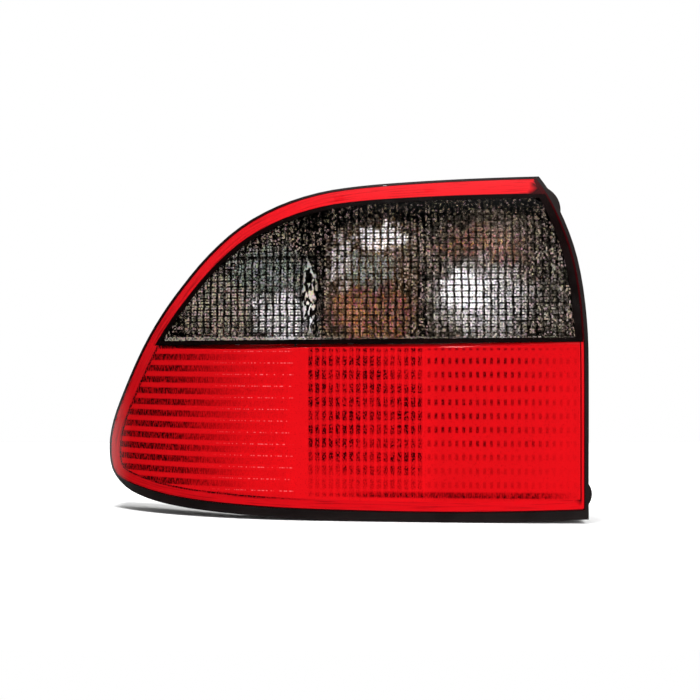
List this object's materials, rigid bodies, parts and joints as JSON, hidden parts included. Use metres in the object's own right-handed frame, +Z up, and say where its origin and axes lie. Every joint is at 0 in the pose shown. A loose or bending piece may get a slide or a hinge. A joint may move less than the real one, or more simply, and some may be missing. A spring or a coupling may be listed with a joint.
{
  "type": "tail light cluster",
  "caption": "Left rear lamp cluster for a car: red lens with a smoked upper window in a black moulded housing that wraps round the corner, with a clip-on bulb carrier and mounting studs.",
  "frame": {"origin": "middle of the four mounting studs, on the face of the body panel", "axes": "+X across the car toward its middle, as seen from behind on the right; +Y forward into the body, along the studs; +Z up"},
  "size_m": [0.3603, 0.1761, 0.2485],
  "materials": {
    "housing_black": "fine satin moulding",
    "lens_red": "clear red, polished outside",
    "lens_smoke": "clear smoked, polished outside",
    "frame_black": "gloss black",
    "seal": "matt",
    "metallised": "vacuum metallised, bright",
    "carrier_grey": "satin moulding",
    "bulb_glass": "clear",
    "bulb_amber": "amber lacquer",
    "brass": "bright",
    "steel": "zinc plated",
    "foam": "closed-cell foam"
  },
  "bodies": {
    "root": {"housing": "housing_black", "red_lens": "lens_red", "smoke_lens": "lens_smoke", "window_frame": "frame_black", "lens_seal": "seal", "tail_reflector": "metallised", "fog_reflector": "metallised", "indicator_reflector": "metallised", "reverse_reflector": "metallised", "side_reflector": "metallised", "bulb_carrier": "carrier_grey", "carrier_seal": "seal", "tail_bulb": "bulb_glass", "fog_bulb": "bulb_glass", "indicator_bulb": "bulb_amber", "reverse_bulb": "bulb_glass", "side_bulb": "bulb_glass", "tail_cap": "brass", "fog_cap": "brass", "indicator_cap": "brass", "reverse_cap": "brass", "side_cap": "brass", "filaments": "steel", "contacts": "brass", "earth_track": "steel", "feed_tracks": "steel", "connector_pins": "brass", "studs": "steel", "body_gasket": "foam", "vent_cap": "seal"}
  },
  "joints": []
}
